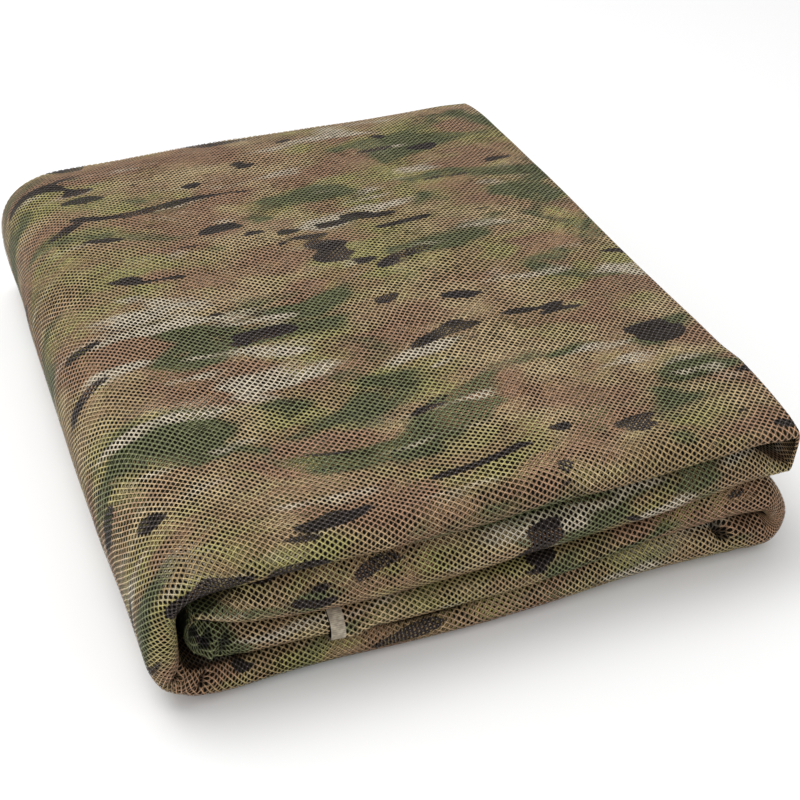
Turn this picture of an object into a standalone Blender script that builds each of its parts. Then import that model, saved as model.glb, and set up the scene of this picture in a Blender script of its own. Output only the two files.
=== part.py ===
"""Camouflage net: one length of printed mesh cloth, folded into a flat pack.

The cloth is folded twice. First it is laid in thirds and doubled, which makes a
strip of six layers with a round fold along its front. Then the strip is folded
across: both its ends turn in, and the whole closes like a book, with the spine
at the left. From the floor up its stretches are called base, short, middle and
top, and a tuck turns back under the left end of the middle one.

X runs along the front, Y to the back, Z up. The origin is on the floor, under
the middle of the pack. Lengths are in metres unless a name says millimetres.
"""
import math

import bmesh
import bpy

PACK_WIDTH = 0.377
PACK_DEPTH = 0.468
MM = 0.001

# Where the strip is measured, from the left end of the pack to the right (mm).
PLACES_MM = (-152, -136, -91, -45, 0, 50, 96, 132, 157, 174)

# Height of the crease between two stretches, and of the top, at those places.
CREASES_MM = {
    "floor":      (0, 0, 0, 0, 0, 0, 0, 0, 0, 0),
    "over_base":  (21, 22, 21, 16, 18, 23, 29, 30, 28, 25),
    "over_short": (52, 44, 39, 36, 36, 40, 45, 49, 52, 53),
    "under_top":  (67, 71, 73, 72, 72, 74, 77, 81, 82, 75),
    "top":        (94, 96, 96, 97, 97, 97, 97, 97, 96, 94),
}

# How far the cloth stands apart at each crease, at the same places.
OPENINGS_MM = {
    "floor":      (0, 0, 0, 0, 0, 0, 0, 0, 0, 0),
    "over_base":  (8, 4, 2, 2, 2, 2, 2, 2, 3, 6),
    "over_short": (2, 2, 2, 2, 2, 2, 2, 2, 3, 6),
    "under_top":  (2, 2, 2, 2, 2, 2, 2, 2, 8, 21),
    "top":        (0, 0, 0, 0, 0, 0, 0, 0, 0, 0),
}

# Each stretch of the strip: the creases below and above it, whether the face
# that ends up outside the pack is its upper one, how far its front fold lies
# back from the foremost one, and how far that fold wanders (mm).
STRETCHES = {
    #          below         above         face_up  set_back  wander
    "short":  ("over_base",  "over_short", True,    3.5,      1.0),
    "base":   ("floor",      "over_base",  False,   2.0,      0.8),
    "top":    ("under_top",  "top",        True,    0.0,      1.2),
    "middle": ("over_short", "under_top",  False,   1.0,      1.2),
    "tuck":   ("over_base",  "over_short", True,    4.0,      0.5),
}

SHORT_END = -0.091
TUCK_END = -0.103
SPINE_START = -0.136
TUCK_START = -0.152
RIGHT_START = 0.174

# Each bend between two stretches: where it starts, how far it stays inside the
# end of the pack, how thick the strip is at its far point, how square it is
# above and below its middle (2 is an ellipse), and the number of steps round it.
BENDS = {
    #                start        inside  wall    square_above  square_below  steps
    "right_low":   (RIGHT_START,  0.000,  0.0120, 2.2,          2.6,          5),
    "spine":       (SPINE_START,  0.000,  0.0205, 2.3,          3.0,          9),
    "right_high":  (RIGHT_START,  0.000,  0.0090, 2.4,          4.5,          6),
    "tuck_fold":   (TUCK_START,   0.0255, 0.0070, 2.0,          2.2,          4),
}

# The strip's section: six layers, each with a gap to the next, given as shares
# of the strip's thickness from its outer face (0) to its inner face (1).
LAYERS = 6
GAP_SHARE = 0.40
PITCH = 1.0 / (LAYERS - GAP_SHARE)
CLOTH = PITCH * (1.0 - GAP_SHARE)

# The order in which the cloth passes through the layers, from the free edge at
# the back of the outermost layer to the free edge of the last one. It turns
# back at the front, then at the back, and so on. Each turn has so many steps
# on its outside and so many on its inside.
ROUTE = (0, 5, 4, 1, 2, 3)
TURN_STEPS = {(0, 5): (7, 5), (5, 4): (3, 2), (4, 1): (4, 4), (1, 2): (3, 2), (2, 3): (3, 2)}
FRONT_ROLL = 0.5
BACK_ROLL = (PITCH + CLOTH) / 2
FREE_EDGE_SHORT = {0: 0.004, 3: 0.007}

# Places along the depth where every layer has a row of points, as shares of
# the depth from the middle.
ROWS = (-0.40, -0.14, 0.14, 0.40)

# How deep a round fold is for the strip's thickness (0.5 is a half circle).
ROLL_DEPTH = 0.55

# The pack's height rises to its middle and drops at its front and back edges and
# at its front right corner, as shares of the height at each point.
CROWN = 0.020
EDGE_DROP = 0.030
EDGE_BAND = 0.10
CORNER_DROP = 0.035
CORNER_SIZE = 0.070

# Soft waves in the height: share of the height, turns per metre along X and Y,
# and where each starts.
WAVES = (
    (0.006, 23.0, 9.0, 0.0),
    (0.005, 14.0, -27.0, 1.0),
)


def at_places(row, x):
    """A row of values in mm, as one smooth curve along X, in metres."""
    marks = [place * MM for place in PLACES_MM]
    x = min(max(x, marks[0]), marks[-1])
    k = 0
    while k < len(marks) - 2 and x > marks[k + 1]:
        k += 1
    before, after = max(k - 1, 0), min(k + 2, len(marks) - 1)
    width = marks[k + 1] - marks[k]
    t = (x - marks[k]) / width
    rise_here = (row[k + 1] - row[before]) / (marks[k + 1] - marks[before]) * width
    rise_next = (row[after] - row[k]) / (marks[after] - marks[k]) * width
    value = (
        row[k] * (2 * t**3 - 3 * t**2 + 1)
        + rise_here * (t**3 - 2 * t**2 + t)
        + row[k + 1] * (3 * t**2 - 2 * t**3)
        + rise_next * (t**3 - t**2)
    )
    return value * MM


def faces_at(stretch, x):
    """Outer and inner face of a stretch at x, each as (x, z)."""
    below, above, face_up, _, _ = STRETCHES[stretch]
    low = at_places(CREASES_MM[below], x) + at_places(OPENINGS_MM[below], x) / 2
    high = at_places(CREASES_MM[above], x) - at_places(OPENINGS_MM[above], x) / 2
    if face_up:
        return (x, high), (x, low)
    return (x, low), (x, high)


def set_back_at(stretch, x):
    """How far a stretch's front fold lies behind the foremost one."""
    _, _, _, set_back, wander = STRETCHES[stretch]
    return (set_back + wander * (1 + math.sin(x * 31.0 + set_back))) * MM


def station(outer, inner, set_back):
    """One cross-section of the strip: its two faces and its front fold's place."""
    return {"outer": outer, "inner": inner, "set_back": set_back}


def along(stretch, start, end):
    """Stations of a stretch, at the shared places between start and end."""
    low, high = min(start, end), max(start, end)
    inside = [place * MM for place in PLACES_MM if low + MM < place * MM < high - MM]
    places = sorted([low, high] + inside, reverse=start > end)
    return [station(*faces_at(stretch, x), set_back_at(stretch, x)) for x in places]


def round_point(start, reach, middle, half, angle, square):
    """A point on a squared ellipse that starts at x = start."""
    c, s = math.cos(angle), math.sin(angle)
    stretch = (abs(c) ** square + abs(s) ** square) ** (-1.0 / square)
    return (start + reach * c * stretch, middle + half * s * stretch)


def bend(name, first, last, turns_up):
    """Stations round a bend, between the ends of two stretches."""
    start, inside, wall, above, below, steps = BENDS[name]
    side = 1 if start > 0 else -1
    farthest = PACK_WIDTH / 2 - abs(start) - inside
    spans = {face: abs(first[face][1] - last[face][1]) for face in ("outer", "inner")}
    outside = max(spans, key=spans.get)
    found = []
    for k in range(1, steps):
        share = k / steps
        angle = math.pi * (share - 0.5 if turns_up else 0.5 - share)
        square = above if angle > 0 else below
        points = []
        for face, span in spans.items():
            reach = side * (farthest if face == outside else farthest - wall)
            middle = (first[face][1] + last[face][1]) / 2
            points.append(round_point(start, reach, middle, span / 2, angle, square))
        set_back = first["set_back"] * (1 - share) + last["set_back"] * share
        found.append(station(*points, set_back))
    return found


def strip_stations():
    """The strip's stations, from the free end of the short stretch to the tuck's."""
    short = along("short", SHORT_END, RIGHT_START)
    base = along("base", RIGHT_START, SPINE_START)
    top = along("top", SPINE_START, RIGHT_START)
    middle = along("middle", RIGHT_START, TUCK_START)
    tuck = along("tuck", TUCK_START, TUCK_END)
    return (
        short
        + bend("right_low", short[-1], base[0], turns_up=False)
        + base
        + bend("spine", base[-1], top[0], turns_up=True)
        + top
        + bend("right_high", top[-1], middle[0], turns_up=False)
        + middle
        + bend("tuck_fold", middle[-1], tuck[0], turns_up=False)
        + tuck
    )


def face_share(layer, side):
    """Where one face of a layer lies in the strip's thickness."""
    return layer * PITCH + (CLOTH if side == "high" else 0.0)


def other_side(side):
    """The side of the next layer that a face passes on to round a turn."""
    return "low" if side == "high" else "high"


def turn_points(here, following, side, at_front, edge, depth):
    """Points round one turn of the cloth, on one of its faces, as (share, y)."""
    start, end = face_share(here, side), face_share(following, other_side(side))
    half = (end - start) / 2
    on_outside = abs(half) > abs(following - here) * PITCH / 2
    steps = TURN_STEPS[here, following][0 if on_outside else 1]
    inward = 1 if at_front else -1
    centre = edge + inward * depth * (FRONT_ROLL if at_front else BACK_ROLL)
    points = []
    for k in range(steps + 1):
        angle = math.pi * k / steps
        share = (start + end) / 2 - half * math.cos(angle)
        points.append((share, centre - inward * depth * abs(half) * math.sin(angle)))
    return points


def face_line(first_side, front, back, depth):
    """One face of the cloth across the strip, from free edge to free edge."""
    side = first_side
    rows = [row * PACK_DEPTH for row in ROWS]
    line = [(face_share(ROUTE[0], side), back - FREE_EDGE_SHORT[ROUTE[0]])]
    for k, (here, following) in enumerate(zip(ROUTE, ROUTE[1:])):
        at_front = k % 2 == 0
        line += [(face_share(here, side), y) for y in (rows[::-1] if at_front else rows)]
        edge = front if at_front else back
        line += turn_points(here, following, side, at_front, edge, depth)
        side = other_side(side)
    line += [(face_share(ROUTE[-1], side), y) for y in rows]
    line.append((face_share(ROUTE[-1], side), back - FREE_EDGE_SHORT[ROUTE[-1]]))
    return line


def section(thickness, front, back):
    """The outline of the folded cloth across the strip, as (share, y) points."""
    depth = 2 * ROLL_DEPTH * thickness
    there = face_line("low", front, back, depth)
    and_back = face_line("high", front, back, depth)
    return there + and_back[::-1]


def swell(x, y):
    """How much taller or lower the pack is at x, y than its measured height."""
    across = 2 * y / PACK_DEPTH
    crown = CROWN * (1 - across * across)
    edge = max(0.0, abs(across) - 1 + 2 * EDGE_BAND) / (2 * EDGE_BAND)
    near_right = max(0.0, x - PACK_WIDTH / 2 + CORNER_SIZE) / CORNER_SIZE
    near_front = max(0.0, CORNER_SIZE - PACK_DEPTH / 2 - y) / CORNER_SIZE
    drop = EDGE_DROP * edge * edge + CORNER_DROP * near_right * near_front
    waves = sum(
        high * math.sin(turns_x * x + turns_y * y + begin)
        for high, turns_x, turns_y, begin in WAVES
    )
    return 1 + crown - drop + waves


def placed(here, share, y):
    """A point of the section, put where the strip lies at one station."""
    (outer_x, outer_z), (inner_x, inner_z) = here["outer"], here["inner"]
    x = outer_x + (inner_x - outer_x) * share
    z = outer_z + (inner_z - outer_z) * share
    return (x, y, z * swell(x, y))


def folded_net():
    """The net as one closed solid: the section, carried along the strip."""
    bm = bmesh.new()
    rings = []
    for here in strip_stations():
        thickness = math.dist(here["outer"], here["inner"])
        front = -PACK_DEPTH / 2 + here["set_back"]
        outline = section(thickness, front, PACK_DEPTH / 2)
        rings.append([bm.verts.new(placed(here, *point)) for point in outline])
    bm.faces.new(rings[0])
    bm.faces.new(rings[-1][::-1])
    for ring, following in zip(rings, rings[1:]):
        for k, corner in enumerate(ring):
            beside = (k + 1) % len(ring)
            bm.faces.new((corner, following[k], following[beside], ring[beside]))
    bmesh.ops.recalc_face_normals(bm, faces=bm.faces)
    bmesh.ops.triangulate(bm, faces=bm.faces)
    mesh = bpy.data.meshes.new("net")
    bm.to_mesh(mesh)
    bm.free()
    mesh.shade_smooth()
    mesh.set_sharp_from_angle(angle=math.radians(50))
    return mesh


def printed_mesh_cloth():
    """Matt polyester mesh, in the middle tone of its print."""
    material = bpy.data.materials.new("printed_mesh_cloth")
    material.use_nodes = True
    shader = material.node_tree.nodes["Principled BSDF"]
    shader.inputs["Base Color"].default_value = (0.150, 0.125, 0.065, 1.0)
    shader.inputs["Roughness"].default_value = 0.85
    shader.inputs["Metallic"].default_value = 0.0
    return material


for old in list(bpy.data.objects):
    bpy.data.objects.remove(old, do_unlink=True)

net = bpy.data.objects.new("net", folded_net())
net.data.materials.append(printed_mesh_cloth())
bpy.context.scene.collection.objects.link(net)
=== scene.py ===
import math

import bmesh
import bpy
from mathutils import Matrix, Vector, noise


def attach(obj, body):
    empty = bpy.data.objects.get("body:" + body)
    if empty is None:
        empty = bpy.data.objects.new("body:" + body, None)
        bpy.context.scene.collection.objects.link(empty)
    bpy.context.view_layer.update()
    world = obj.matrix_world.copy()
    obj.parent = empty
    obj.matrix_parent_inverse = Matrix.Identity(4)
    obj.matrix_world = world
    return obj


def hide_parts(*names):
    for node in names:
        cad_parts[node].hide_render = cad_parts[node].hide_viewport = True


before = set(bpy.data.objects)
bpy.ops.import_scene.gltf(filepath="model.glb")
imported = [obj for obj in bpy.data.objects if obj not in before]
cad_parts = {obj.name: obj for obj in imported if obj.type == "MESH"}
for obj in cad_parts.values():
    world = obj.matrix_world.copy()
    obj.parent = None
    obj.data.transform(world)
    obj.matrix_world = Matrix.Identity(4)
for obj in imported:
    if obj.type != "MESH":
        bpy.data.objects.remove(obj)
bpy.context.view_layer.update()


# The net: one length of knitted polyester mesh, 1.50 m wide and 2.78 m long. It is laid in
# thirds and doubled, which makes a strip of six layers with a round fold along its front.
# The strip is folded across with its ends turned in, and closes like a book.
PACK_WIDTH = 0.377
PACK_DEPTH = 0.468
MM = 0.001

# Where the strip is measured, from the left end of the pack to the right, with the height
# of each crease and how far the cloth stands open there (mm).
PLACES = (-152, -136, -91, -45, 0, 50, 96, 132, 157, 174, 183)
CREASES = {
    "floor":      (0, 0, 0, 0, 0, 0, 0, 0, 0, 0, 0),
    "over_base":  (19, 20.5, 20.5, 16, 18, 23, 28.5, 27.5, 26.5, 24.5, 24),
    "over_short": (55, 46, 39, 36, 36, 40, 45, 49.5, 54, 56.5, 60.5),
    "under_top":  (67, 71, 73, 72, 72, 74, 77, 82.5, 84.2, 80, 78.5),
    "top":        (94, 96, 96, 97, 97, 97, 97, 97, 96.5, 95, 94),
}
OPENINGS = {
    "floor":      (0, 0, 0, 0, 0, 0, 0, 0, 0, 0, 0),
    "over_base":  (6, 3, 2, 2, 2, 2, 2, 2, 2, 2, 2),
    "over_short": (5, 3, 2, 2, 2, 2, 2, 2, 3, 7, 5),
    "under_top":  (2, 2, 2, 2, 2, 2, 2, 2.5, 9, 19, 25),
    "top":        (0, 0, 0, 0, 0, 0, 0, 0, 0, 0, 0),
}

# Each stretch of the strip: the creases below and above it, whether its outer face is the
# upper one, how far its front fold lies back, how far it wanders (mm), and how closely it is
# meshed (mm). A wander turns so many radians a metre.
WANDER_TURNS = 31.0
STRETCHES = {
    #          below         above         face_up  set_back  wander  step
    "short":  ("over_base",  "over_short", True,    3.5,      1.0,    5.0),
    "base":   ("floor",      "over_base",  False,   4.5,      0.8,    5.5),
    "top":    ("under_top",  "top",        True,    0.0,      1.2,    5.0),
    "middle": ("over_short", "under_top",  False,   1.0,      1.2,    4.8),
    "tuck":   ("over_base",  "over_short", True,    4.0,      0.5,    4.0),
}
# Where a stretch's mesh changes between even and twice as close, for its small pleats (m).
CLOSE_UPS = {"base": (0.168, 0.132, -0.100), "tuck": (-0.151, -0.132)}
SHORT_END = -0.091
TUCK_END = -0.0915
SPINE_START = -0.136
TUCK_START = -0.152
RIGHT_START = 0.174
FLAP_START = 0.179

# Each bend: where it starts, how far it stays inside the pack's end, how thick the strip is
# there, how square it is above and below its middle and, beside that, on its inner face, how
# far its inner face is drawn up at the turn, and its number of steps.
BENDS = {
    #              start        inside  wall    above  below  inner  drawn_up  steps
    "right_low":  (RIGHT_START, 0.000,  0.0120, 1.45,  2.4,   1.0,   0.0,      22),
    "spine":      (SPINE_START, 0.000,  0.0190, 2.3,   3.0,   2.0,   0.0,      76),
    "right_high": (FLAP_START,  0.0058, 0.0022, 2.4,   3.5,   1.3,   0.0,      22),
    "tuck_fold":  (TUCK_START,  0.0220, 0.0035, 3.2,   1.9,   1.0,   0.0090,   28),
}


def at_places(row, x):
    """A row of values in mm, as one smooth curve along X, in metres."""
    marks = [place * MM for place in PLACES]
    x = min(max(x, marks[0]), marks[-1])
    k = 0
    while k < len(marks) - 2 and x > marks[k + 1]:
        k += 1
    before, after = max(k - 1, 0), min(k + 2, len(marks) - 1)
    width = marks[k + 1] - marks[k]
    t = (x - marks[k]) / width
    rise_here = (row[k + 1] - row[before]) / (marks[k + 1] - marks[before]) * width
    rise_next = (row[after] - row[k]) / (marks[after] - marks[k]) * width
    value = (
        row[k] * (2 * t**3 - 3 * t**2 + 1)
        + rise_here * (t**3 - 2 * t**2 + t)
        + row[k + 1] * (3 * t**2 - 2 * t**3)
        + rise_next * (t**3 - t**2)
    )
    return value * MM


def places_along(stretch, start, end):
    """X of each cross-section of a stretch: closer together where small pleats lie."""
    step = STRETCHES[stretch][-1] * MM
    marks = (start, *CLOSE_UPS.get(stretch, ()), end)
    found = [start]
    for k in range(len(marks) - 1):
        here, following = marks[k], marks[k + 1]
        steps = round(abs(following - here) / (step / 2 if k % 2 else step))
        found += [here + (following - here) * n / steps for n in range(1, steps + 1)]
    return found


def along(stretch, start, end):
    """Cross-sections of a stretch: outer face, inner face and front fold at each step."""
    below, above, face_up, set_back, wander, _ = STRETCHES[stretch]
    found = []
    for x in places_along(stretch, start, end):
        low = at_places(CREASES[below], x) + at_places(OPENINGS[below], x) / 2
        high = at_places(CREASES[above], x) - at_places(OPENINGS[above], x) / 2
        outer, inner = ((x, high), (x, low)) if face_up else ((x, low), (x, high))
        lies_back = (set_back + wander * (1 + math.sin(x * WANDER_TURNS + set_back))) * MM
        found.append((outer, inner, lies_back))
    return found


def bend(name, first, last, turns_up):
    """Cross-sections round a bend, between the ends of two stretches."""
    start, inside, wall, above, below, inner, drawn_up, steps = BENDS[name]
    side = 1 if start > 0 else -1
    farthest = PACK_WIDTH / 2 - abs(start) - inside
    spans = [abs(first[face][1] - last[face][1]) for face in (0, 1)]
    outside = spans.index(max(spans))
    found = []
    for k in range(1, steps):
        share = k / steps
        angle = math.pi * (share - 0.5 if turns_up else 0.5 - share)
        square = above if angle > 0 else below
        c, s = math.cos(angle), math.sin(angle)
        faces = []
        for face in (0, 1):
            power = square if face == outside else square * inner
            squared = (abs(c) ** power + abs(s) ** power) ** (-1.0 / power)
            reach = side * (farthest if face == outside else farthest - wall)
            middle = (first[face][1] + last[face][1]) / 2
            middle += 0.0 if face == outside else drawn_up * c * squared
            faces.append((start + reach * c * squared, middle + spans[face] / 2 * s * squared))
        found.append((*faces, first[2] * (1 - share) + last[2] * share))
    return found


short = along("short", SHORT_END, RIGHT_START)
base = along("base", RIGHT_START, SPINE_START)
top = along("top", SPINE_START, FLAP_START)
middle = along("middle", FLAP_START, TUCK_START)
tuck = along("tuck", TUCK_START, TUCK_END)
strip = (
    short
    + bend("right_low", short[-1], base[0], turns_up=False)
    + base
    + bend("spine", base[-1], top[0], turns_up=True)
    + top
    + bend("right_high", top[-1], middle[0], turns_up=False)
    + middle
    + bend("tuck_fold", middle[-1], tuck[0], turns_up=False)
    + tuck
)

# The order in which the cloth passes through the layers, from its free edge at the back of
# the outermost layer, and how closely each pass and each turn is meshed. A layer's share is
# its place in the strip's thickness, from the outer face to the inner one.
PASSES = ((0, 94), (5, 8), (4, 8), (1, 46), (2, 6), (3, 6))
TURN_STEPS = {(0, 5): 24, (5, 4): 6, (4, 1): 12, (1, 2): 8, (2, 3): 6}
FRONT_SHARES = {0: 0.008, 1: 0.036, 2: 0.36, 3: 0.64, 4: 0.95, 5: 0.985}
BACK_SHARES = {0: 0.040, 1: 0.080, 2: 0.38, 3: 0.58, 4: 0.78, 5: 0.97}
BACK_BAND = 0.045
ROLL_DEPTH = 0.55
BACK_ROLL = 0.12
FREE_EDGE_SHORT = {0: 0.004, 3: 0.007}
FREE_LAYERS = (0, 3)


def cloth_rows():
    """Every row of the cloth: which layers it lies in, and how far along its pass or turn."""
    rows = []
    for k, (layer, steps) in enumerate(PASSES):
        rows += [(layer, layer, step / steps) for step in range(steps + 1)]
        if k + 1 < len(PASSES):
            following = PASSES[k + 1][0]
            turn = TURN_STEPS[layer, following]
            rows += [(layer, following, step / turn) for step in range(1, turn)]
    return rows


def smooth_step(t):
    """0 to 1, easing in and out."""
    t = min(max(t, 0.0), 1.0)
    return t * t * (3 - 2 * t)


def layer_share(layer, y):
    """A layer's share of the strip's thickness: its places open out toward the back."""
    opens = smooth_step((y - PACK_DEPTH / 2) / BACK_BAND + 1)
    return FRONT_SHARES[layer] * (1 - opens) + BACK_SHARES[layer] * opens


def in_section(row, thickness, front, back):
    """Share of the strip's thickness, and Y, of one row of the cloth."""
    here, following, t = row
    depth = 2 * ROLL_DEPTH * thickness
    front_end = front + depth / 2
    back_end = back - depth * BACK_ROLL
    order = [layer for layer, _ in PASSES]
    if here == following:
        runs_forward = order.index(here) % 2 == 0
        far = back - FREE_EDGE_SHORT[here] if here in FREE_LAYERS else back_end
        y = far + (front_end - far) * t if runs_forward else front_end + (far - front_end) * t
        return layer_share(here, y), y
    at_front = order.index(here) % 2 == 0
    shares = FRONT_SHARES if at_front else BACK_SHARES
    start, end = shares[here], shares[following]
    half = (end - start) / 2
    share = (start + end) / 2 - half * math.cos(math.pi * t)
    reach = depth * abs(half) * math.sin(math.pi * t)
    return share, (front_end - reach if at_front else back_end + reach)


# The pack is a little taller in its middle, and lower along its front and back edges and at
# its front right corner.
CROWN = 0.020
EDGE_DROP = 0.030
BACK_DROP = 0.050
EDGE_BAND = 0.10
CORNER_DROP = 0.035
CORNER_SIZE = 0.070
WAVES = (
    # share  turns_x  turns_y  start
    (0.006,  23.0,    9.0,     0.0),
    (0.005,  14.0,    -27.0,   1.0),
)
LIFT = 0.0004


def swell(x, y):
    """How much taller or lower the pack is at x, y than its measured height."""
    across = 2 * y / PACK_DEPTH
    crown = CROWN * (1 - across * across)
    edge = max(0.0, abs(across) - 1 + 2 * EDGE_BAND) / (2 * EDGE_BAND)
    near_right = max(0.0, x - PACK_WIDTH / 2 + CORNER_SIZE) / CORNER_SIZE
    near_front = max(0.0, CORNER_SIZE - PACK_DEPTH / 2 - y) / CORNER_SIZE
    drop = (EDGE_DROP if y < 0 else BACK_DROP) * edge * edge
    drop += CORNER_DROP * near_right * near_front
    waves = sum(high * math.sin(kx * x + ky * y + begin) for high, kx, ky, begin in WAVES)
    return 1 + crown - drop + waves


def folded_points(rows):
    """The place of every point of the cloth, column by column along the strip."""
    columns = []
    for outer, inner, lies_back in strip:
        thickness = math.dist(outer, inner)
        front = -PACK_DEPTH / 2 + lies_back
        column = []
        for row in rows:
            share, y = in_section(row, thickness, front, PACK_DEPTH / 2)
            x = outer[0] + (inner[0] - outer[0]) * share
            z = outer[1] + (inner[1] - outer[1]) * share
            column.append(Vector((x, y, LIFT + z * swell(x, y))))
        columns.append(column)
    return columns


# Soft folds that stand proud of the pack or sink into it. Each runs from one place on the
# cloth to another: u along the strip from the middle of the top, and v from the front tip
# of the fold to the back (m). Then its height, or depth, and its half width (mm).
SOFT_FOLDS = (
    # u_from  v_from   u_to     v_to     height  half_width
    # broad swells of the top
    (-0.150,  0.120,   -0.060,  0.200,   1.2,    14),
    (-0.120,  0.330,   -0.020,  0.300,   1.0,    16),
    (0.040,   0.060,   0.150,   0.140,   -1.0,   18),
    (0.060,   0.250,   0.140,   0.300,   0.9,    15),
    (-0.060,  0.020,   0.030,   0.075,   -1.1,   12),
    (0.178,   0.015,   0.180,   0.060,   3.2,    17),
    (-0.205,  0.120,   -0.205,  0.330,   3.0,    34),
    (0.090,   0.010,   0.130,   0.030,   1.4,    12),
    # pleats where the spine turns into the base
    (-0.2420, -0.0160, -0.2480, -0.0060, -6.0,   2.6),
    (-0.2480, -0.0060, -0.2500, 0.0030,  -4.0,   2.4),
    (-0.2720, -0.0190, -0.2700, -0.0020, -6.5,   2.8),
    (-0.2600, -0.0170, -0.2590, -0.0030, 2.2,    3.6),
    (-0.2060, -0.0060, -0.2330, -0.0040, 1.5,    6.0),
    (-0.2910, -0.0150, -0.2850, -0.0030, -1.3,   3.5),
    # the pinched end of the middle, over the pleats of its tuck
    (0.5840,  -0.0100, 0.5760,  -0.0050, -3.0,   2.8),
    (0.5530,  -0.0155, 0.5450,  -0.0150, -7.0,   4.5),
    (0.5640,  -0.0110, 0.5560,  -0.0080, 1.4,    4.0),
    (0.5880,  0.0040,  0.6150,  0.0040,  -4.6,   9.0),
    (0.6000,  0.0090,  0.5920,  -0.0080, -2.0,   2.2),
    (0.6085,  0.0100,  0.5995,  -0.0065, 3.9,    2.4),
    (0.6130,  0.0105,  0.6050,  -0.0080, -2.4,   2.2),
    (0.6195,  0.0110,  0.6125,  -0.0065, 3.6,    2.5),
    (0.6250,  0.0110,  0.6190,  -0.0070, -3.2,   2.6),
    (0.6340,  0.0110,  0.6290,  -0.0070, -1.6,   3.0),
    # the short end, hanging over the base
    (-0.9450, -0.0090, -0.9300, -0.0070, 3.5,    7.0),
    # the small pit under the short end's fold, and the soft folds beside it
    (-0.5830, -0.0170, -0.5868, -0.0065, -10.0,  4.2),
    (-0.5900, -0.0165, -0.5925, -0.0060, 1.8,    2.6),
    (-0.5990, -0.0100, -0.6050, -0.0030, 1.2,    5.0),
    (-0.5720, -0.0120, -0.5740, -0.0020, 1.0,    5.0),
    (-0.6080, -0.0110, -0.6060, 0.0000,  -1.5,   4.0),
)
# Small crumples: their place, how far they spread, their height and their grain (mm). Past
# twice their spread nothing is left of them.
CRUMPLES_END = 2
CRUMPLES = (
    # u       v        spread  height  grain
    (0.5780,  -0.0080, 11,     3.0,    3.8),
    (-0.2600, -0.0080, 16,     1.2,    6.0),
    (-0.5950, -0.0060, 18,     1.1,    8.0),
)
UNEVEN = (
    # height_mm  turns_per_metre  place
    (1.1,        7.0,             3.0),
    (0.55,       19.0,            11.0),
)


def stands_proud(u, v):
    """How far the cloth stands proud of its even fold at a place on it, in metres."""
    height = 0.0
    for u0, v0, u1, v1, high, half_width in SOFT_FOLDS:
        du, dv = u1 - u0, v1 - v0
        t = min(max(((u - u0) * du + (v - v0) * dv) / (du * du + dv * dv), 0.0), 1.0)
        away = math.hypot(u - u0 - t * du, v - v0 - t * dv) / (half_width * MM)
        height += high * math.exp(-away * away)
    for at_u, at_v, spread, high, grain in CRUMPLES:
        away = math.hypot(u - at_u, v - at_v) / (spread * MM)
        if away < CRUMPLES_END:
            folds = 2 * noise.noise(Vector((u, v, at_u)) / (grain * MM))
            height += high * folds * math.exp(-away * away)
    for high, turns, place in UNEVEN:
        height += high * noise.noise(Vector((u * turns, v * turns, place)))
    return height * MM


def faces_out(row, outward):
    """Which way a row of the cloth faces, and its place round the front fold from 0 to 1."""
    here, following, t = row
    order = [layer for layer, _ in PASSES]
    if here == following or order.index(here) % 2:
        return outward, None
    turned = t if FRONT_SHARES[here] < FRONT_SHARES[following] else 1 - t
    angle = math.pi * turned
    return outward * math.cos(angle) + Vector((0, -math.sin(angle), 0)), turned


# Painted shade deep in the folds: how far behind the front the inner face is still lit, how
# near the back the layers show without it, how deep a dent is before it is painted darker (m),
# how much further the second layer is pressed, and over which last share of a front turn the
# cloth goes into painted shade and its folds end.
LIT_AT_FRONT = 0.022
SHADE_ENDS_AT_BACK = 0.012
DENT_SHADE_FROM = 0.0016
UNDER_FOLLOWS = 0.2
SHADE_SHARE = 1 / 4
FOLDS_END_SHARE = 1 / 5


def painted_shade_depth(row, y):
    """How deep in the folds a row lies, which sets its painted shade: 0 outside, 1 under a
    layer, 2 on the inner face.
    """
    here, following, t = row
    if here == 0:
        return 0.0 if following == 0 else 2 * smooth_step(1 + (t - 1) / SHADE_SHARE)
    inside = smooth_step((PACK_DEPTH / 2 - SHADE_ENDS_AT_BACK - y) / SHADE_ENDS_AT_BACK)
    far_in = smooth_step((y + PACK_DEPTH / 2) / LIT_AT_FRONT)
    return inside * (1 + far_in if 5 in (here, following) else 1.0)


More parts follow.
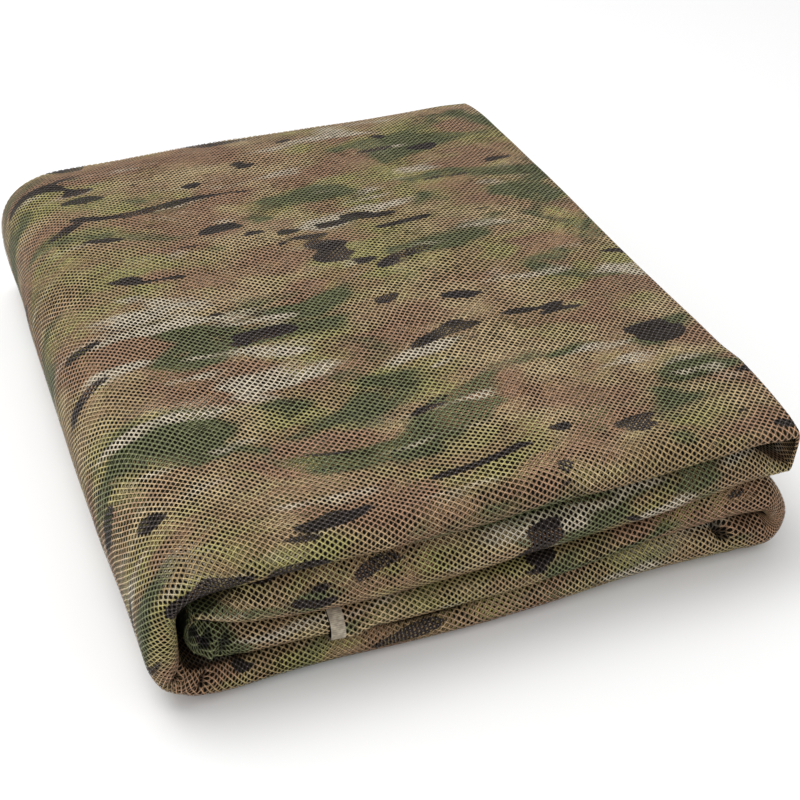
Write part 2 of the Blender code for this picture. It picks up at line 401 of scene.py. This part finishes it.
def lay_cloth(rows):
    """Points of the cloth with its soft folds, its own coordinates u and v, and its depth,
    which sets its painted shade.
    """
    columns = folded_points(rows)
    roll = [j for j, row in enumerate(rows) if row[:2] == (0, 5)]
    roll = [roll[0] - 1, *roll, roll[-1] + 1]
    tip = roll[len(roll) // 2]
    u_values = [0.0]
    for here, following in zip(strip, strip[1:]):
        steps = [math.dist(here[face], following[face]) for face in (0, 1)]
        u_values.append(u_values[-1] + max(steps))
    top_column = len(short) + BENDS["right_low"][-1] - 1 + len(base) + BENDS["spine"][-1] - 1
    top_column += min(range(len(top)), key=lambda k: abs(top[k][0][0]))
    u_values = [u - u_values[top_column] for u in u_values]
    laid, coordinates, shade_depths = [], [], []
    for i, column in enumerate(columns):
        v_values = [0.0] * len(rows)
        for j in range(tip - 1, -1, -1):
            v_values[j] = v_values[j + 1] + (column[j] - column[j + 1]).length
        for j in range(tip + 1, len(rows)):
            v_values[j] = v_values[j - 1] - (column[j] - column[j - 1]).length
        outer, inner, _ = strip[i]
        outward = Vector((outer[0] - inner[0], 0, outer[1] - inner[1])).normalized()
        moved, deep = [], []
        for j, row in enumerate(rows):
            way, turned = faces_out(row, outward)
            share = min(FRONT_SHARES[row[0]], FRONT_SHARES[row[1]])
            if turned is None:
                v = v_values[roll[0]] + column[j].y - column[roll[0]].y
                amount = 1 - share
            else:
                place = turned * (len(roll) - 1)
                k = min(int(place), len(roll) - 2)
                before, after = v_values[roll[k]], v_values[roll[k + 1]]
                v = before + (after - before) * (place - k)
                amount = (1 - share) * (1 - smooth_step(1 + (turned - 1) / FOLDS_END_SHARE))
            proud = amount * stands_proud(u_values[i], v)
            if row[:2] == (4, 1):
                proud *= 1 + math.copysign(UNDER_FOLLOWS, -proud)
            moved.append(column[j] + way * proud)
            # A dent deep enough, or a row deep in the folds, gets painted shade through its
            # depth.
            dent_shade = 2 * smooth_step((-proud - DENT_SHADE_FROM) / DENT_SHADE_FROM)
            deep.append(max(dent_shade, painted_shade_depth(row, column[j].y)))
        laid.append(moved)
        shade_depths.append(deep)
        coordinates.append([(u_values[i], v) for v in v_values])
    return laid, coordinates, shade_depths


# How the knit is pulled askew where it lies: soft drifts of its rows, along and across.
DRIFTS = (
    # size_mm  along_mm  across_mm  place
    (170,      8.0,      8.0,       2.0),
    (70,       2.8,      3.0,       9.0),
    (15,       0.8,      0.8,       17.0),
)


# Where the knit is drawn together over the strip's front fold, and how much (m).
FRONT_FROM, FRONT_TO, FRONT_BY = -0.030, 0.050, 0.0070
STRAIGHT_END = 0.040


def pulled(u, v, first_u):
    """The cloth's own coordinates at a place, with its rows pulled a little askew."""
    moved_u, moved_v = u, v
    loose = smooth_step((u - first_u) / STRAIGHT_END)
    for size, along_by, across_by, place in DRIFTS:
        at = Vector((u, v, 0)) / (size * MM)
        moved_u += loose * along_by * MM * noise.noise(at + Vector((0, 0, place)))
        moved_v += loose * across_by * MM * noise.noise(at + Vector((0, 0, place + 5)))
    moved_v += FRONT_BY * smooth_step((v - FRONT_FROM) / (FRONT_TO - FRONT_FROM))
    return moved_u, moved_v


# How much room a hidden row gets on the square map, where one that shows gets 1.
HIDDEN_ROOM = 0.25


def bake_places(rows, coordinates):
    """Where each column and row goes on a square map: more room for what shows."""
    across = [column[0][0] for column in coordinates]
    low, high = across[0], across[-1]
    width = [(u - low) / (high - low) for u in across]
    line = [0.0]
    shown = len([row for row in rows if row[0] == 0])
    for j in range(1, len(rows)):
        length = abs(coordinates[0][j][1] - coordinates[0][j - 1][1])
        line.append(line[-1] + length * (1.0 if j < shown else HIDDEN_ROOM))
    return width, [place / line[-1] for place in line]


def net_mesh():
    """The cloth's mesh, with its own coordinates as a UV map in metres."""
    rows = cloth_rows()
    points, coordinates, shade_depths = lay_cloth(rows)
    width, length = bake_places(rows, coordinates)
    shown = len([row for row in rows if row[0] == 0])
    bm = bmesh.new()
    # The depth attribute carries each point's painted shade, from how deep it lies in the
    # folds.
    depth = bm.verts.layers.float.new("depth")
    bmesh.ops.create_grid(bm, x_segments=len(strip) - 1, y_segments=len(rows) - 1, size=0.5)
    place = {
        corner: (round((corner.co.x + 0.5) * (len(strip) - 1)),
                 round((corner.co.y + 0.5) * (len(rows) - 1)))
        for corner in bm.verts
    }
    cloth = bm.loops.layers.uv.new("cloth")
    flat = bm.loops.layers.uv.new("OFBake")
    for face in bm.faces:
        face.smooth = True
        first = min(place[corner][1] for corner in face.verts)
        face.material_index = 0 if first < shown - 1 else 1
        for loop in face.loops:
            i, j = place[loop.vert]
            loop[cloth].uv = pulled(*coordinates[i][j], coordinates[0][j][0])
            loop[flat].uv = (width[i], length[j])
    for corner, (i, j) in place.items():
        corner.co = points[i][j]
        corner[depth] = shade_depths[i][j]
    bmesh.ops.reverse_faces(bm, faces=bm.faces)
    mesh = bpy.data.meshes.new("mesh_net")
    bm.to_mesh(mesh)
    bm.free()
    return mesh


def add_node(tree, kind, **settings):
    """A node of a kind, with its settings."""
    made = tree.nodes.new(kind)
    for name, value in settings.items():
        setattr(made, name, value)
    return made


def feed(tree, socket, value):
    """Links a socket to another node's output, or sets it to a value."""
    if isinstance(value, bpy.types.NodeSocket):
        tree.links.new(value, socket)
    else:
        socket.default_value = value


def reckon(tree, operation, *values):
    """The result of a Math node."""
    made = add_node(tree, "ShaderNodeMath", operation=operation)
    for socket, value in zip(made.inputs, values):
        feed(tree, socket, value)
    return made.outputs[0]


def eased(tree, value, low, high, to_low=0.0, to_high=1.0):
    """A value's place between low and high, eased at both ends."""
    made = add_node(tree, "ShaderNodeMapRange", interpolation_type="SMOOTHSTEP")
    for socket, number in zip(made.inputs, (value, low, high, to_low, to_high)):
        feed(tree, socket, number)
    return made.outputs[0]


def patches(tree, cloth, long, wide, place, detail=2.0, wrung=0.0):
    """Soft random patches of about that size in metres, from 0 to 1."""
    scaled = add_node(tree, "ShaderNodeMapping")
    feed(tree, scaled.inputs["Vector"], cloth)
    scaled.inputs["Location"].default_value = (place, place * 0.37, place * 0.11)
    scaled.inputs["Scale"].default_value = (1 / long, 1 / wide, 1)
    made = add_node(tree, "ShaderNodeTexNoise")
    tree.links.new(scaled.outputs[0], made.inputs["Vector"])
    made.inputs["Scale"].default_value = 1.0
    made.inputs["Detail"].default_value = detail
    made.inputs["Roughness"].default_value = 0.5
    made.inputs["Distortion"].default_value = wrung
    return made.outputs[0]


def tinted(tree, share, under, over):
    """Two colours mixed by a share."""
    made = add_node(tree, "ShaderNodeMix", data_type="RGBA")
    feed(tree, made.inputs[0], share)
    feed(tree, made.inputs[6], under)
    feed(tree, made.inputs[7], over)
    return made.outputs[2]


# The print's inks, dyed into the thread, and what is laid with them over the khaki: how long
# and wide its patches are (m), where its noise is taken, how fine and how wrung it is, the
# noise at which a patch starts and at which it is full, and how much it then covers.
KHAKI = (0.75, 0.56, 0.30, 1)
OLIVE = (0.54, 0.485, 0.175, 1)
CLAY_BROWN = (0.52, 0.305, 0.175, 1)
MOSS = (0.205, 0.222, 0.092, 1)
SAND = (0.88, 0.76, 0.56, 1)
UMBER = (0.050, 0.035, 0.031, 1)
MOTIFS = (
    # ink        along  across  place  detail  wrung  starts  full   covers
    (OLIVE,      0.095, 0.060,  2.0,   2.0,    0.0,   0.40,   0.60,  1.0),
    (CLAY_BROWN, 0.030, 0.017,  51.0,  2.0,    0.0,   0.42,   0.62,  0.65),
    (CLAY_BROWN, 0.080, 0.042,  7.0,   2.0,    0.0,   0.48,   0.61,  1.0),
    (MOSS,       0.095, 0.048,  13.0,  3.0,    0.3,   0.545,  0.625, 1.0),
    (SAND,       0.075, 0.022,  23.0,  2.0,    0.1,   0.585,  0.69,  1.0),
    (UMBER,      0.055, 0.022,  31.0,  1.3,    0.3,   0.648,  0.664, 1.0),
)


def woodland_print():
    """The camouflage: soft drifts of khaki, olive and brown under moss, sand and umber."""
    tree = bpy.data.node_groups.new("woodland_print", "ShaderNodeTree")
    tree.interface.new_socket("Cloth", in_out="INPUT", socket_type="NodeSocketVector")
    tree.interface.new_socket("Color", in_out="OUTPUT", socket_type="NodeSocketColor")
    cloth = add_node(tree, "NodeGroupInput").outputs["Cloth"]
    ground = KHAKI
    for ink, long, wide, place, detail, wrung, starts, full, covers in MOTIFS:
        patch = patches(tree, cloth, long, wide, place, detail, wrung)
        ground = tinted(tree, eased(tree, patch, starts, full, 0.0, covers), ground, ink)
    feed(tree, add_node(tree, "NodeGroupOutput").inputs["Color"], ground)
    return tree


# The knit: six-sided holes in staggered rows, between two families of slanting thread and
# the straight ribs across them. The pitch of the holes along and across the cloth, how much
# of it each family takes up, how high each stands, and where it rises, as shares of its
# width from its middle. Then how far a crossing shows as a knot, and the closely knitted
# selvage at the strip's outer end, with its fine ribs.
HOLE_PITCH_U = 0.00430
HOLE_PITCH_V = 0.00394
THREAD_WIDTHS = (0.28, 0.25, 0.20)
THREAD_HEIGHTS = (0.95, 0.80, 0.60)
THREAD_FOOT, THREAD_CROWN = 0.6, 0.1
HOLE_SQUARENESS = 3.5
# A knot's light colour is bare yarn, and also a painted highlight.
KNOT_FROM, KNOT_TO, KNOT_SHOWS = 0.35, 0.75, 0.60
HOLE_SOFT = 0.12
SELVAGE = 0.0075
RIB_PITCH, RIB_HEIGHT, RIB_MIDDLE = 0.0012, 0.15, 0.8
# How slack the knit is from place to place: the size of the patches (m), where their noise
# is taken, the noise at which they are least and most slack, and their share of a hole then.
SLACKS = (
    # along  across  place  least_at  most_at  least  most
    (0.040,  0.032,  61.0,  0.32,     0.68,    0.88,  1.12),
    (0.005,  0.0045, 67.0,  0.30,     0.70,    0.84,  1.16),
)


def holed_knit(selvage_end):
    """Threads and holes: where there is thread, how high it stands, and the selvage."""
    tree = bpy.data.node_groups.new("holed_knit", "ShaderNodeTree")
    tree.interface.new_socket("Cloth", in_out="INPUT", socket_type="NodeSocketVector")
    for name in ("Thread", "Height", "Knot", "Selvage"):
        tree.interface.new_socket(name, in_out="OUTPUT", socket_type="NodeSocketFloat")
    parts = add_node(tree, "ShaderNodeSeparateXYZ")
    knit_input = add_node(tree, "NodeGroupInput")
    feed(tree, parts.inputs[0], knit_input.outputs["Cloth"])
    u, v = parts.outputs[0], parts.outputs[1]
    along_u = reckon(tree, "DIVIDE", u, HOLE_PITCH_U)
    along_v = reckon(tree, "DIVIDE", v, HOLE_PITCH_V)
    families = (
        reckon(tree, "ADD", along_u, along_v),
        reckon(tree, "SUBTRACT", along_u, along_v),
        reckon(tree, "MULTIPLY_ADD", along_u, 2.0, 0.5),
    )
    reaches, rises = [], []
    for family, width, high in zip(families, THREAD_WIDTHS, THREAD_HEIGHTS):
        turn = reckon(tree, "FRACT", family)
        from_hole = reckon(tree, "ABSOLUTE", reckon(tree, "SUBTRACT", turn, 0.5))
        reaches.append(reckon(tree, "MULTIPLY", from_hole, 2 / (1 - width)))
        foot, crown = 0.5 - width * THREAD_FOOT, 0.5 - width * THREAD_CROWN
        rises.append(eased(tree, from_hole, foot, crown, 0.0, high))
    powers = [reckon(tree, "POWER", reach, HOLE_SQUARENESS) for reach in reaches]
    slanting = reckon(tree, "ADD", *powers[:2])
    reach = reckon(tree, "POWER", reckon(tree, "ADD", slanting, powers[2]), 1 / HOLE_SQUARENESS)
    cloth = knit_input.outputs["Cloth"]
    for long, wide, place, *slackness in SLACKS:
        slack = eased(tree, patches(tree, cloth, long, wide, place), *slackness)
        reach = reckon(tree, "MULTIPLY", reach, slack)
    thread = eased(tree, reach, 1 - HOLE_SOFT, 1 + HOLE_SOFT)
    edge = selvage_end + SELVAGE
    selvage = eased(tree, u, edge, edge + SELVAGE / 10, 1.0, 0.0)
    ribs = reckon(tree, "SINE", reckon(tree, "MULTIPLY", v, 2 * math.pi / RIB_PITCH))
    plain = reckon(tree, "MULTIPLY_ADD", ribs, RIB_HEIGHT, RIB_MIDDLE)
    crossing = reckon(tree, "MULTIPLY", *rises[:2])
    knot = eased(tree, crossing, KNOT_FROM, KNOT_TO, 0.0, KNOT_SHOWS)
    done = add_node(tree, "NodeGroupOutput")
    feed(tree, done.inputs["Knot"], knot)
    feed(tree, done.inputs["Thread"], reckon(tree, "MAXIMUM", thread, selvage))
    highest = reckon(tree, "MAXIMUM", reckon(tree, "MAXIMUM", *rises[:2]), rises[2])
    feed(tree, done.inputs["Height"], tinted(tree, selvage, highest, plain))
    feed(tree, done.inputs["Selvage"], selvage)
    return tree


# The yarn: its colour where no dye took, at the selvage and on its knots, whose light colour is
# also a painted highlight. Then its painted shade at its sides and deep in the folds, and how
# light it is where it is thin.
UNDYED = (0.50, 0.43, 0.33, 1)
BARE_KNOT_AND_GLINT = (0.68, 0.60, 0.49, 1)
BLACK = (0, 0, 0, 1)
THREAD_SIDE_SHADE = 0.16
DEEP_LIT = 0.22
THIN_YARN = 0.60
YARN_LONG, YARN_WIDE, YARN_PLACE, YARN_DETAIL = 0.0026, 0.0022, 3.0, 1.0
YARN_FROM, YARN_TO = 0.30, 0.70


def dyed_and_shaded_thread(print_group, knit_group):
    """The knit in its dye: uneven yarn, with painted shade at its sides and deep in the folds.
    """
    tree = bpy.data.node_groups.new("dyed_and_shaded_thread", "ShaderNodeTree")
    tree.interface.new_socket("Cloth", in_out="INPUT", socket_type="NodeSocketVector")
    tree.interface.new_socket("Depth", in_out="INPUT", socket_type="NodeSocketFloat")
    tree.interface.new_socket("Color", in_out="OUTPUT", socket_type="NodeSocketColor")
    tree.interface.new_socket("Thread", in_out="OUTPUT", socket_type="NodeSocketFloat")
    tree.interface.new_socket("Height", in_out="OUTPUT", socket_type="NodeSocketFloat")
    given = add_node(tree, "NodeGroupInput")
    cloth = given.outputs["Cloth"]
    ink = add_node(tree, "ShaderNodeGroup", node_tree=print_group)
    knit = add_node(tree, "ShaderNodeGroup", node_tree=knit_group)
    feed(tree, ink.inputs["Cloth"], cloth)
    feed(tree, knit.inputs["Cloth"], cloth)
    # The knots are lighter: bare yarn, and a painted highlight on them.
    knot_bare_and_glint = tinted(tree, knit.outputs["Knot"], ink.outputs["Color"], BARE_KNOT_AND_GLINT)
    dye_and_knot_glint = tinted(tree, knit.outputs["Selvage"], knot_bare_and_glint, UNDYED)
    # Painted shade deep in the folds: the thread darkens towards DEEP_LIT on the inner face.
    deep = eased(tree, given.outputs["Depth"], 1.0, 2.0, 1.0, DEEP_LIT)
    # Painted shade at the thread's sides, darker where it stands lower.
    side = eased(tree, knit.outputs["Height"], 0.0, 1.0, THREAD_SIDE_SHADE, 1.0)
    grain = patches(tree, cloth, YARN_LONG, YARN_WIDE, YARN_PLACE, YARN_DETAIL)
    yarn = eased(tree, grain, YARN_FROM, YARN_TO, THIN_YARN, 1.0)
    lit = reckon(tree, "MULTIPLY", reckon(tree, "MULTIPLY", side, deep), yarn)
    done = add_node(tree, "NodeGroupOutput")
    feed(tree, done.inputs["Color"], tinted(tree, lit, BLACK, dye_and_knot_glint))
    feed(tree, done.inputs["Thread"], knit.outputs["Thread"])
    feed(tree, done.inputs["Height"], knit.outputs["Height"])
    return tree


# Under the outer layer: the painted shade in a hole, standing in for the shaded layers seen
# through it, and the painted shade of a layer, how little it is lit where it lies apart from
# the outer one, and the patches in which it touches it. Then how rough the thread is, its
# shine, and how far it is raised (m).
PAINTED_HOLE_SHADE = (0.008, 0.007, 0.006, 1)
LEAST_LIT = 0.07
TOUCH_LONG, TOUCH_WIDE, TOUCH_PLACE = 0.060, 0.045, 41.0
TOUCH_FROM, TOUCH_TO = 0.46, 0.62
ROUGHNESS = 0.6
SHINE, SHINE_INSIDE = 0.25, 0.04
RAISED, RAISED_BY = 0.6, 0.0005


def knitted(name, thread_group, see_through):
    """Printed polyester mesh: matt thread, with its holes open, or on inner layers with painted
    shade and holes painted dark.
    """
    material = bpy.data.materials.new(name)
    material.use_nodes = True
    tree = material.node_tree
    shader = tree.nodes["Principled BSDF"]
    cloth = add_node(tree, "ShaderNodeUVMap", uv_map="cloth").outputs[0]
    # The depth attribute sets the painted shade deep in the folds and in dents.
    depth = add_node(tree, "ShaderNodeAttribute", attribute_name="depth").outputs["Fac"]
    thread = add_node(tree, "ShaderNodeGroup", node_tree=thread_group)
    feed(tree, thread.inputs["Cloth"], cloth)
    feed(tree, thread.inputs["Depth"], depth)
    if see_through:
        feed(tree, shader.inputs["Base Color"], thread.outputs["Color"])
        feed(tree, shader.inputs["Alpha"], thread.outputs["Thread"])
    else:
        # Painted shade on the inner layers: darker deep in the folds where they lie apart from
        # the outer one, with holes painted near-black for the shaded layers under them.
        touching = patches(tree, cloth, TOUCH_LONG, TOUCH_WIDE, TOUCH_PLACE)
        lit = eased(tree, touching, TOUCH_FROM, TOUCH_TO, LEAST_LIT, 1.0)
        dimmed = eased(tree, depth, 0.0, 1.0, 1.0, lit)
        under = tinted(tree, dimmed, BLACK, thread.outputs["Color"])
        shaded_holes_filled = tinted(tree, thread.outputs["Thread"], PAINTED_HOLE_SHADE, under)
        feed(tree, shader.inputs["Base Color"], shaded_holes_filled)
    raised = add_node(tree, "ShaderNodeBump")
    raised.inputs["Strength"].default_value = RAISED
    raised.inputs["Distance"].default_value = RAISED_BY
    feed(tree, raised.inputs["Height"], thread.outputs["Height"])
    feed(tree, shader.inputs["Normal"], raised.outputs[0])
    shader.inputs["Roughness"].default_value = ROUGHNESS
    shader.inputs["Specular IOR Level"].default_value = SHINE if see_through else SHINE_INSIDE
    return material


net = bpy.data.objects.new("mesh_net", net_mesh())
bpy.context.scene.collection.objects.link(net)
knits = holed_knit(min(loop.uv.x for loop in net.data.uv_layers["cloth"].data))
threads = dyed_and_shaded_thread(woodland_print(), knits)
net.data.materials.append(knitted("printed_mesh", threads, see_through=True))
net.data.materials.append(knitted("printed_mesh_inside_painted_shade", threads, see_through=False))
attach(net, "root")
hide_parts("net")


# The floor: a plain pale board under the pack, with soft studio light all round, a large
# lamp above its back left and a weaker one low at its front left.
FLOOR_SIZE = 6.0
FLOOR_PALE = (0.9, 0.9, 0.9, 1)
FLOOR_ROUGHNESS = 0.9
ALL_ROUND = 0.71
floor_mesh = bmesh.new()
bmesh.ops.create_grid(floor_mesh, x_segments=1, y_segments=1, size=FLOOR_SIZE / 2)
floor_data = bpy.data.meshes.new("floor")
floor_mesh.to_mesh(floor_data)
floor_mesh.free()
floor = bpy.data.objects.new("floor", floor_data)
bpy.context.scene.collection.objects.link(floor)
pale = bpy.data.materials.new("pale_floor")
pale.use_nodes = True
floor_shader = pale.node_tree.nodes["Principled BSDF"]
floor_shader.inputs["Base Color"].default_value = FLOOR_PALE
floor_shader.inputs["Roughness"].default_value = FLOOR_ROUGHNESS
floor_data.materials.append(pale)

world = bpy.data.worlds.new("studio")
world.use_nodes = True
world.node_tree.nodes["Background"].inputs["Color"].default_value = (1, 1, 1, 1)
world.node_tree.nodes["Background"].inputs["Strength"].default_value = ALL_ROUND
bpy.context.scene.world = world
bpy.context.scene.view_settings.view_transform = "Standard"

LAMPS = {
    #        place                size  power
    "key":  ((-0.6, 0.3, 2.0),    1.3,  26),
    "fill": ((-0.7, -1.8, 1.0),   1.4,  5.4),
}
for lamp_name, (place, size, power) in LAMPS.items():
    light = bpy.data.lights.new(lamp_name, "AREA")
    light.size = size
    light.energy = power
    lamp = bpy.data.objects.new(lamp_name, light)
    lamp.location = place
    lamp.rotation_euler = (-Vector(place)).to_track_quat("-Z", "Y").to_euler()
    bpy.context.scene.collection.objects.link(lamp)

# The camera: from the front left, raised a little over a third of the way to overhead.
AZIMUTH, ELEVATION = math.radians(-20.96), math.radians(35.15)
DISTANCE = 0.9237
TARGET = Vector((0.0104, -0.0649, 0.0430))
LENS, SENSOR = 67.05, 36
away = Vector((
    math.sin(AZIMUTH) * math.cos(ELEVATION),
    -math.cos(AZIMUTH) * math.cos(ELEVATION),
    math.sin(ELEVATION),
))
camera_data = bpy.data.cameras.new("camera")
camera_data.lens = LENS
camera_data.sensor_width = SENSOR
camera = bpy.data.objects.new("camera", camera_data)
camera.location = TARGET + away * DISTANCE
camera.rotation_euler = (-away).to_track_quat("-Z", "Y").to_euler()
bpy.context.scene.collection.objects.link(camera)
bpy.context.scene.camera = camera

bpy.context.view_layer.update()
